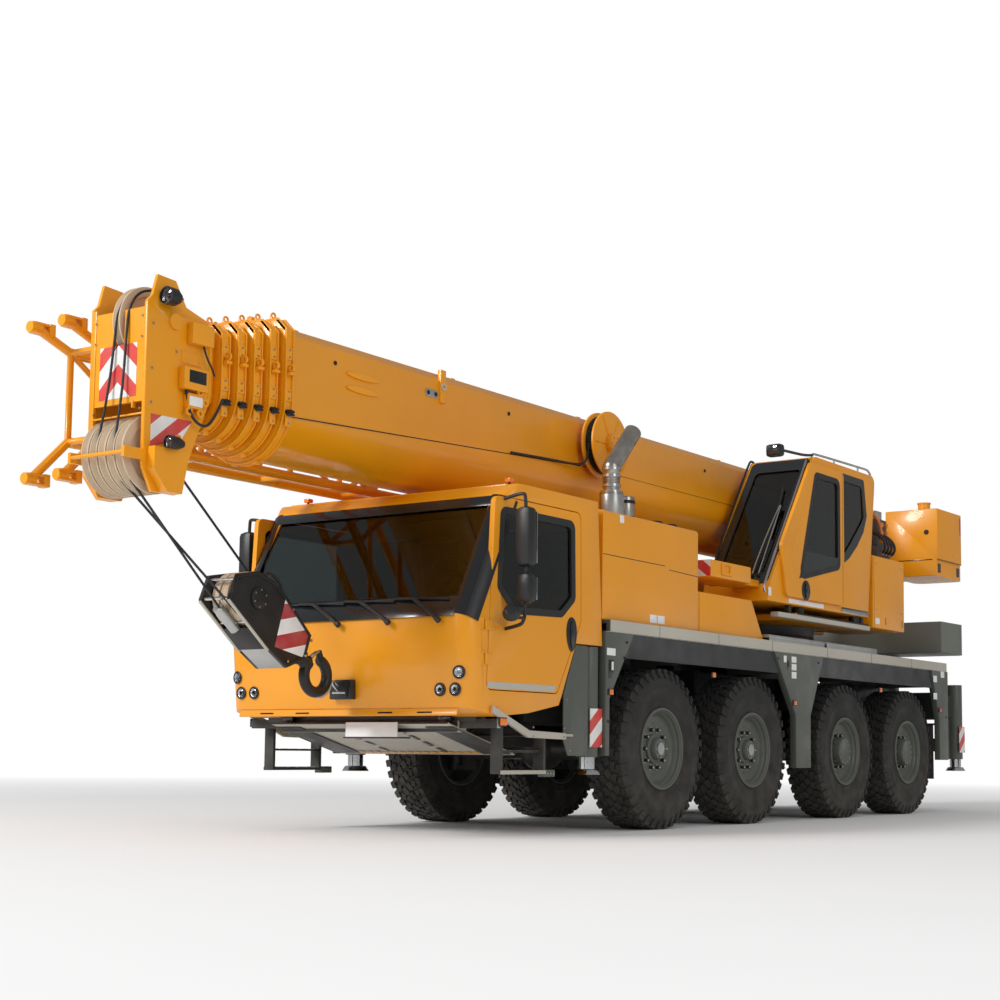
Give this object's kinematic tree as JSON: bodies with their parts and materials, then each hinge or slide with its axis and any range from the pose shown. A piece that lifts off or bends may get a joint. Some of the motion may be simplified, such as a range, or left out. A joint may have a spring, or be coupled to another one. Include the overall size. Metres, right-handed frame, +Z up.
{
  "type": "mobile crane",
  "caption": "All-terrain mobile crane in travel order: low driver's cab, slewing crane cab, telescopic boom with stowed lattice jib, hook block tied at the front, outriggers retracted.",
  "frame": {"origin": "on the ground under the middle of the whole machine", "axes": "+X forward along the carrier and the stowed boom, +Y to the carrier's left, +Z up"},
  "size_m": [12.516, 3.01, 3.796],
  "materials": {
    "yellow_paint": "gloss",
    "carrier_grey": "semi-gloss",
    "rail_beige": "satin",
    "weight_grey": "painted satin",
    "tyre_rubber": "moulded",
    "cab_glass": "tinted",
    "trim_plastic": "moulded",
    "engine_iron": "cast",
    "bright_steel": "brushed",
    "black_steel": "satin",
    "sheave_nylon": "moulded"
  },
  "bodies": {
    "carrier": {"carrier_frame": "carrier_grey", "deck_and_fenders": "carrier_grey", "axles_and_driveline": "black_steel", "deck_counterweight": "weight_grey", "rear_beam": "carrier_grey", "driver_cab_shell": "yellow_paint", "driver_cab_glass": "cab_glass", "driver_cab_interior": "trim_plastic", "front_gear": "rail_beige", "engine_cover": "yellow_paint", "rear_engine_cover": "yellow_paint", "engine_block": "engine_iron", "exhaust": "bright_steel"},
    "driver_door_left": {"driver_door_left": "yellow_paint"},
    "driver_door_right": {"driver_door_right": "yellow_paint"},
    "knuckle_1_left": {"knuckle_1_left": "carrier_grey"},
    "wheel_1_left": {"wheel_1_left": "tyre_rubber"},
    "knuckle_1_right": {"knuckle_1_right": "carrier_grey"},
    "wheel_1_right": {"wheel_1_right": "tyre_rubber"},
    "knuckle_2_left": {"knuckle_2_left": "carrier_grey"},
    "wheel_2_left": {"wheel_2_left": "tyre_rubber"},
    "knuckle_2_right": {"knuckle_2_right": "carrier_grey"},
    "wheel_2_right": {"wheel_2_right": "tyre_rubber"},
    "knuckle_3_left": {"knuckle_3_left": "carrier_grey"},
    "wheel_3_left": {"wheel_3_left": "tyre_rubber"},
    "knuckle_3_right": {"knuckle_3_right": "carrier_grey"},
    "wheel_3_right": {"wheel_3_right": "tyre_rubber"},
    "knuckle_4_left": {"knuckle_4_left": "carrier_grey"},
    "wheel_4_left": {"wheel_4_left": "tyre_rubber"},
    "knuckle_4_right": {"knuckle_4_right": "carrier_grey"},
    "wheel_4_right": {"wheel_4_right": "tyre_rubber"},
    "outrigger_beam_front_left": {"outrigger_beam_front_left": "carrier_grey"},
    "outrigger_jack_front_left": {"outrigger_jack_front_left": "bright_steel"},
    "outrigger_beam_front_right": {"outrigger_beam_front_right": "carrier_grey"},
    "outrigger_jack_front_right": {"outrigger_jack_front_right": "bright_steel"},
    "outrigger_beam_rear_left": {"outrigger_beam_rear_left": "carrier_grey"},
    "outrigger_jack_rear_left": {"outrigger_jack_rear_left": "bright_steel"},
    "outrigger_beam_rear_right": {"outrigger_beam_rear_right": "carrier_grey"},
    "outrigger_jack_rear_right": {"outrigger_jack_rear_right": "bright_steel"},
    "superstructure": {"turntable": "yellow_paint", "side_housings": "yellow_paint", "rear_counterweight": "yellow_paint", "hoist_winch": "yellow_paint", "crane_cab_shell": "yellow_paint", "crane_cab_glass": "cab_glass", "crane_cab_interior": "trim_plastic"},
    "crane_cab_door": {"crane_cab_door": "yellow_paint"},
    "boom_base": {"boom_base": "yellow_paint", "cable_reel": "yellow_paint", "lattice_jib": "yellow_paint"},
    "boom_section_1": {"boom_section_1": "yellow_paint"},
    "boom_section_2": {"boom_section_2": "yellow_paint"},
    "boom_section_3": {"boom_section_3": "yellow_paint"},
    "boom_section_4": {"boom_section_4": "yellow_paint"},
    "boom_head": {"boom_head": "yellow_paint", "head_sheaves": "sheave_nylon"},
    "luff_barrel": {"luff_barrel": "yellow_paint"},
    "luff_rod": {"luff_rod": "bright_steel"},
    "hook_block": {"hook_block": "black_steel"},
    "hook": {"hook": "black_steel"}
  },
  "joints": [
    {"name": "driver_door_left_swing", "type": "hinge", "parent": "carrier", "child": "driver_door_left", "pos_m": [3.558, 1.24, 1.8], "axis": [0, 0, -1], "range_deg": [0, 70]},
    {"name": "driver_door_right_swing", "type": "hinge", "parent": "carrier", "child": "driver_door_right", "pos_m": [3.558, -1.24, 1.8], "axis": [0, 0, 1], "range_deg": [0, 70]},
    {"name": "steer_1_left", "type": "hinge", "parent": "carrier", "child": "knuckle_1_left", "pos_m": [1.025, 0.97, 0.685], "axis": [0, 0, 1], "range_deg": [-30, 30]},
    {"name": "roll_1_left", "type": "hinge", "parent": "knuckle_1_left", "child": "wheel_1_left", "pos_m": [1.025, 1.08, 0.685], "axis": [0, 1, 0], "continuous": true},
    {"name": "steer_1_right", "type": "hinge", "parent": "carrier", "child": "knuckle_1_right", "pos_m": [1.025, -0.97, 0.685], "axis": [0, 0, 1], "range_deg": [-30, 30]},
    {"name": "roll_1_right", "type": "hinge", "parent": "knuckle_1_right", "child": "wheel_1_right", "pos_m": [1.025, -1.08, 0.685], "axis": [0, 1, 0], "continuous": true},
    {"name": "steer_2_left", "type": "hinge", "parent": "carrier", "child": "knuckle_2_left", "pos_m": [-0.63, 0.97, 0.685], "axis": [0, 0, 1], "range_deg": [-21.6, 21.6]},
    {"name": "roll_2_left", "type": "hinge", "parent": "knuckle_2_left", "child": "wheel_2_left", "pos_m": [-0.63, 1.08, 0.685], "axis": [0, 1, 0], "continuous": true},
    {"name": "steer_2_right", "type": "hinge", "parent": "carrier", "child": "knuckle_2_right", "pos_m": [-0.63, -0.97, 0.685], "axis": [0, 0, 1], "range_deg": [-21.6, 21.6]},
    {"name": "roll_2_right", "type": "hinge", "parent": "knuckle_2_right", "child": "wheel_2_right", "pos_m": [-0.63, -1.08, 0.685], "axis": [0, 1, 0], "continuous": true},
    {"name": "steer_3_left", "type": "hinge", "parent": "carrier", "child": "knuckle_3_left", "pos_m": [-2.695, 0.97, 0.685], "axis": [0, 0, 1], "range_deg": [-14.88, 14.88]},
    {"name": "roll_3_left", "type": "hinge", "parent": "knuckle_3_left", "child": "wheel_3_left", "pos_m": [-2.695, 1.08, 0.685], "axis": [0, 1, 0], "continuous": true},
    {"name": "steer_3_right", "type": "hinge", "parent": "carrier", "child": "knuckle_3_right", "pos_m": [-2.695, -0.97, 0.685], "axis": [0, 0, 1], "range_deg": [-14.88, 14.88]},
    {"name": "roll_3_right", "type": "hinge", "parent": "knuckle_3_right", "child": "wheel_3_right", "pos_m": [-2.695, -1.08, 0.685], "axis": [0, 1, 0], "continuous": true},
    {"name": "steer_4_left", "type": "hinge", "parent": "carrier", "child": "knuckle_4_left", "pos_m": [-4.35, 0.97, 0.685], "axis": [0, 0, 1], "range_deg": [-24, 24]},
    {"name": "roll_4_left", "type": "hinge", "parent": "knuckle_4_left", "child": "wheel_4_left", "pos_m": [-4.35, 1.08, 0.685], "axis": [0, 1, 0], "continuous": true},
    {"name": "steer_4_right", "type": "hinge", "parent": "carrier", "child": "knuckle_4_right", "pos_m": [-4.35, -0.97, 0.685], "axis": [0, 0, 1], "range_deg": [-24, 24]},
    {"name": "roll_4_right", "type": "hinge", "parent": "knuckle_4_right", "child": "wheel_4_right", "pos_m": [-4.35, -1.08, 0.685], "axis": [0, 1, 0], "continuous": true},
    {"name": "beam_front_left_out", "type": "slide", "parent": "carrier", "child": "outrigger_beam_front_left", "axis": [0, 1, 0], "range_m": [0, 1.85]},
    {"name": "jack_front_left_down", "type": "slide", "parent": "outrigger_beam_front_left", "child": "outrigger_jack_front_left", "axis": [0, 0, -1], "range_m": [0, 0.6]},
    {"name": "beam_front_right_out", "type": "slide", "parent": "carrier", "child": "outrigger_beam_front_right", "axis": [0, -1, 0], "range_m": [0, 1.85]},
    {"name": "jack_front_right_down", "type": "slide", "parent": "outrigger_beam_front_right", "child": "outrigger_jack_front_right", "axis": [0, 0, -1], "range_m": [0, 0.6]},
    {"name": "beam_rear_left_out", "type": "slide", "parent": "carrier", "child": "outrigger_beam_rear_left", "axis": [0, 1, 0], "range_m": [0, 1.85]},
    {"name": "jack_rear_left_down", "type": "slide", "parent": "outrigger_beam_rear_left", "child": "outrigger_jack_rear_left", "axis": [0, 0, -1], "range_m": [0, 0.6]},
    {"name": "beam_rear_right_out", "type": "slide", "parent": "carrier", "child": "outrigger_beam_rear_right", "axis": [0, -1, 0], "range_m": [0, 1.85]},
    {"name": "jack_rear_right_down", "type": "slide", "parent": "outrigger_beam_rear_right", "child": "outrigger_jack_rear_right", "axis": [0, 0, -1], "range_m": [0, 0.6]},
    {"name": "slew", "type": "hinge", "parent": "carrier", "child": "superstructure", "pos_m": [-2.825, 0, 1.9], "axis": [0, 0, 1], "continuous": true},
    {"name": "crane_cab_door_slide", "type": "slide", "parent": "superstructure", "child": "crane_cab_door", "axis": [-1, 0, 0], "range_m": [0, 0.62]},
    {"name": "boom_luff", "type": "hinge", "parent": "superstructure", "child": "boom_base", "pos_m": [-4.575, 0, 3.15], "axis": [0, -1, 0], "range_deg": [0, 82]},
    {"name": "telescope_1", "type": "slide", "parent": "boom_base", "child": "boom_section_1", "axis": [1, 0, 0], "range_m": [0, 7.78]},
    {"name": "telescope_2", "type": "slide", "parent": "boom_section_1", "child": "boom_section_2", "axis": [1, 0, 0], "range_m": [0, 7.78]},
    {"name": "telescope_3", "type": "slide", "parent": "boom_section_2", "child": "boom_section_3", "axis": [1, 0, 0], "range_m": [0, 7.78]},
    {"name": "telescope_4", "type": "slide", "parent": "boom_section_3", "child": "boom_section_4", "axis": [1, 0, 0], "range_m": [0, 7.78]},
    {"name": "telescope_5", "type": "slide", "parent": "boom_section_4", "child": "boom_head", "axis": [1, 0, 0], "range_m": [0, 7.78]},
    {"name": "luff_barrel_swing", "type": "hinge", "parent": "superstructure", "child": "luff_barrel", "pos_m": [-2.925, 0, 2.22], "axis": [0, -1, 0], "range_deg": [0, 88.54]},
    {"name": "luff_rod_out", "type": "slide", "parent": "luff_barrel", "child": "luff_rod", "axis": [0.996, 0, 0.0896], "range_m": [0, 2.443]},
    {"name": "hook_block_swing", "type": "hinge", "parent": "boom_head", "child": "hook_block", "pos_m": [5.89, 0, 2.59], "axis": [0, -1, 0], "range_deg": [-30.76, 0]},
    {"name": "hook_swivel", "type": "hinge", "parent": "hook_block", "child": "hook", "pos_m": [4.035, 0, 1.205], "axis": [0.7986, 0, 0.6018], "continuous": true}
  ],
  "couplings": [
    {"joint": "steer_1_right", "follows": "steer_1_left", "ratio": 1},
    {"joint": "steer_2_left", "follows": "steer_1_left", "ratio": 0.72},
    {"joint": "steer_2_right", "follows": "steer_1_left", "ratio": 0.72},
    {"joint": "steer_3_left", "follows": "steer_4_left", "ratio": 0.62},
    {"joint": "steer_3_right", "follows": "steer_4_left", "ratio": 0.62},
    {"joint": "steer_4_right", "follows": "steer_4_left", "ratio": 1},
    {"joint": "luff_barrel_swing", "follows": "boom_luff", "ratio": 1.0796},
    {"joint": "luff_rod_out", "follows": "boom_luff", "m_per_rad": 1.7063},
    {"joint": "hook_block_swing", "follows": "boom_luff", "ratio": -0.375}
  ]
}
